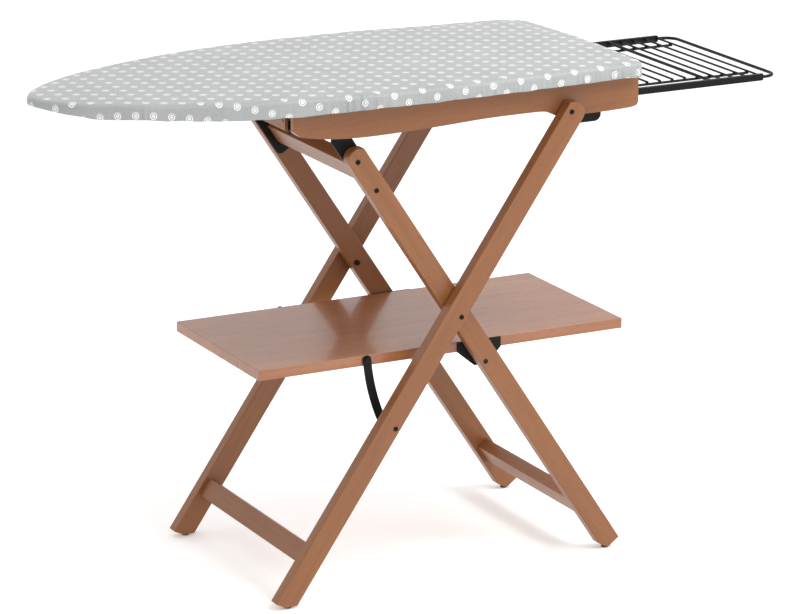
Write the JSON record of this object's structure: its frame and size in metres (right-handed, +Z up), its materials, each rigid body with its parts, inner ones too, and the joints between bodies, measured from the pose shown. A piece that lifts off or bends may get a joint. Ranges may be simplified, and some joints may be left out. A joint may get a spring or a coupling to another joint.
{
  "type": "folding ironing board",
  "caption": "Folding ironing board with a padded fabric-covered top, wooden scissor legs, a linked lower shelf and a sliding wire iron rest.",
  "frame": {"origin": "on the floor under the middle of the overall length, nose to the iron rest's end", "axes": "+X from the nose towards the iron rest, +Y to the rear side, +Z up; the joint axes are all parallel to Y except the iron rest's slide"},
  "size_m": [1.417, 0.5086, 0.934],
  "materials": {
    "cover_fabric": "printed cotton, soft sheen",
    "foam": "matt foam",
    "panel_board": "raw particle board",
    "frame_wood": "stained beech, satin lacquer",
    "leg_wood": "stained beech, satin lacquer",
    "shelf_laminate": "wood-grain laminate, semi-gloss",
    "dowel_wood": "raw beech",
    "black_steel": "black satin",
    "black_wire": "black powder coat",
    "black_bolts": "blackened steel",
    "foot_rubber": "matt",
    "screw_steel": "zinc plated"
  },
  "bodies": {
    "board": {"fabric_cover": "cover_fabric", "foam_pad": "foam", "top_panel": "panel_board", "side_rail_front": "frame_wood", "side_rail_rear": "frame_wood", "rail_ledge_front": "frame_wood", "rail_ledge_rear": "frame_wood", "tray_keeper_front": "frame_wood", "tray_keeper_rear": "frame_wood", "inner_runner_front": "frame_wood", "inner_runner_rear": "frame_wood", "nose_cross_rail": "frame_wood", "tail_cross_rail": "frame_wood", "runner_screws": "screw_steel", "height_rack_front": "black_steel", "height_rack_rear": "black_steel", "rack_rivets": "black_bolts", "tray_plate_front": "black_steel", "tray_plate_rear": "black_steel", "tray_plate_screws": "black_bolts"},
    "outer_legs": {"outer_leg_front": "leg_wood", "outer_leg_rear": "leg_wood", "outer_lower_rail": "leg_wood", "outer_rail_dowels": "dowel_wood", "outer_foot_pads": "foot_rubber", "pivot_washers": "black_bolts", "scissor_washers": "black_bolts", "pivot_bolts": "black_bolts", "scissor_bolts": "black_bolts", "link_spacers": "black_bolts", "link_bolts": "black_bolts"},
    "inner_legs": {"inner_leg_front": "leg_wood", "inner_leg_rear": "leg_wood", "inner_lower_rail": "leg_wood", "inner_upper_rail": "leg_wood", "hook_plate_front": "black_steel", "hook_plate_rear": "black_steel", "hook_rod": "black_steel", "inner_rail_dowels": "dowel_wood", "hook_plate_bolts": "black_bolts", "inner_foot_pads": "foot_rubber", "shelf_pivot_bolts": "black_bolts", "shelf_pivot_washers": "black_bolts"},
    "shelf": {"shelf_board": "shelf_laminate", "shelf_bracket_front": "black_steel", "shelf_bracket_rear": "black_steel", "bracket_screws": "black_bolts", "link_pins": "black_bolts"},
    "link_front": {"curved_link_front": "black_steel"},
    "link_rear": {"curved_link_rear": "black_steel"},
    "iron_rest": {"tray_rail_front": "black_steel", "tray_rail_rear": "black_steel", "tray_end_rod": "black_wire", "tray_long_rods": "black_wire", "tray_heavy_rod": "black_wire", "tray_back_rod": "black_wire", "tray_outer_cross_rods": "black_wire", "tray_inner_cross_rods": "black_wire"}
  },
  "joints": [
    {"name": "leg_fold", "type": "hinge", "parent": "board", "child": "outer_legs", "pos_m": [0.2421, 0, 0.8544], "axis": [0, 1, 0], "range_deg": [0, 50]},
    {"name": "scissor", "type": "hinge", "parent": "outer_legs", "child": "inner_legs", "pos_m": [0.01929, 0, 0.4999], "axis": [0, 1, 0], "range_deg": [-100, 0]},
    {"name": "shelf_hinge", "type": "hinge", "parent": "inner_legs", "child": "shelf", "pos_m": [0.08297, 0, 0.40151], "axis": [0, 1, 0], "range_deg": [0, 48]},
    {"name": "link_front_hinge", "type": "hinge", "parent": "shelf", "child": "link_front", "pos_m": [-0.14403, 0, 0.42801], "axis": [0, 1, 0], "range_deg": [0, 94.5]},
    {"name": "link_rear_hinge", "type": "hinge", "parent": "shelf", "child": "link_rear", "pos_m": [-0.14403, 0, 0.42801], "axis": [0, 1, 0], "range_deg": [0, 94.5]},
    {"name": "iron_rest_slide", "type": "slide", "parent": "board", "child": "iron_rest", "axis": [1, 0, 0], "range_m": [-0.3, 0]}
  ],
  "couplings": [
    {"joint": "scissor", "follows": "leg_fold", "ratio": -2},
    {"joint": "shelf_hinge", "follows": "leg_fold", "ratio": 0.96},
    {"joint": "link_front_hinge", "follows": "leg_fold", "ratio": 1.8898},
    {"joint": "link_rear_hinge", "follows": "leg_fold", "ratio": 1.8898}
  ]
}
